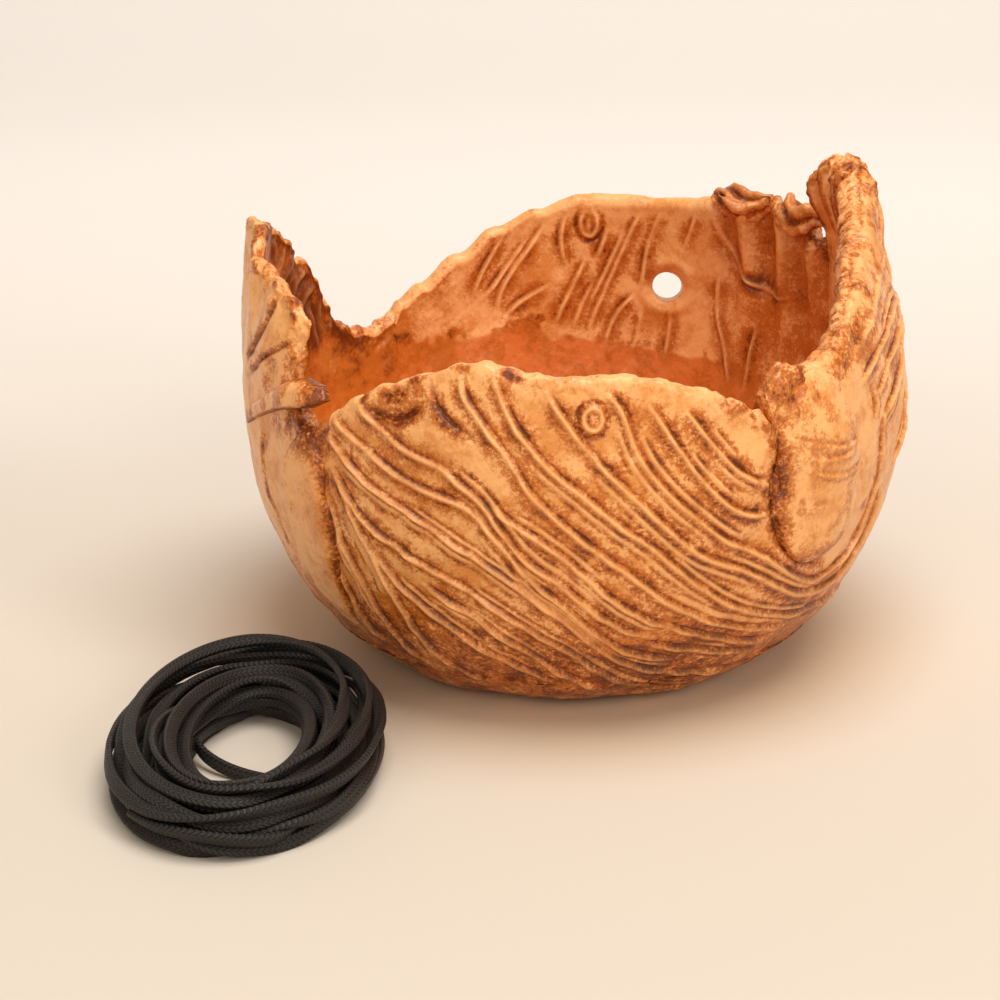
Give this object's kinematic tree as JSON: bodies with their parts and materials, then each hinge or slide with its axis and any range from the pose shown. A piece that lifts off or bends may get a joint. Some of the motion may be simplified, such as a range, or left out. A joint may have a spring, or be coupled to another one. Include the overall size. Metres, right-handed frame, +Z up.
{
  "type": "yarn bowl",
  "caption": "Hand-built stoneware bowl with wood-grain walls, a torn rim and a hole for yarn, with a loose coil of braided waxed cord.",
  "frame": {"origin": "centre of the bowl's flat foot, on the surface that it stands on", "axes": "+Z up, -Y towards the low front wall, +X towards the tall right side of the rim"},
  "size_m": [0.1707, 0.195, 0.106],
  "materials": {
    "stoneware": "mottled ochre glaze over brown stain",
    "base_stoneware": "red-orange glaze",
    "waxed_cord": "black waxed braid"
  },
  "bodies": {
    "bowl": {"base_dish": "base_stoneware", "front_slab": "stoneware", "right_slab": "stoneware", "gathered_slab": "stoneware", "back_slab": "stoneware", "left_slab": "stoneware", "tuck_slab": "stoneware", "right_seam_pad": "stoneware", "left_seam_pad": "stoneware", "left_fold_strap": "stoneware", "near_rim_roll": "stoneware", "far_rim_roll": "stoneware"},
    "cord": {"cord_coil": "waxed_cord"}
  },
  "joints": [
    {"name": "coil_lift", "type": "slide", "parent": "bowl", "child": "cord", "axis": [0, -0.6, 0.8], "range_m": [0, 0.1]}
  ]
}
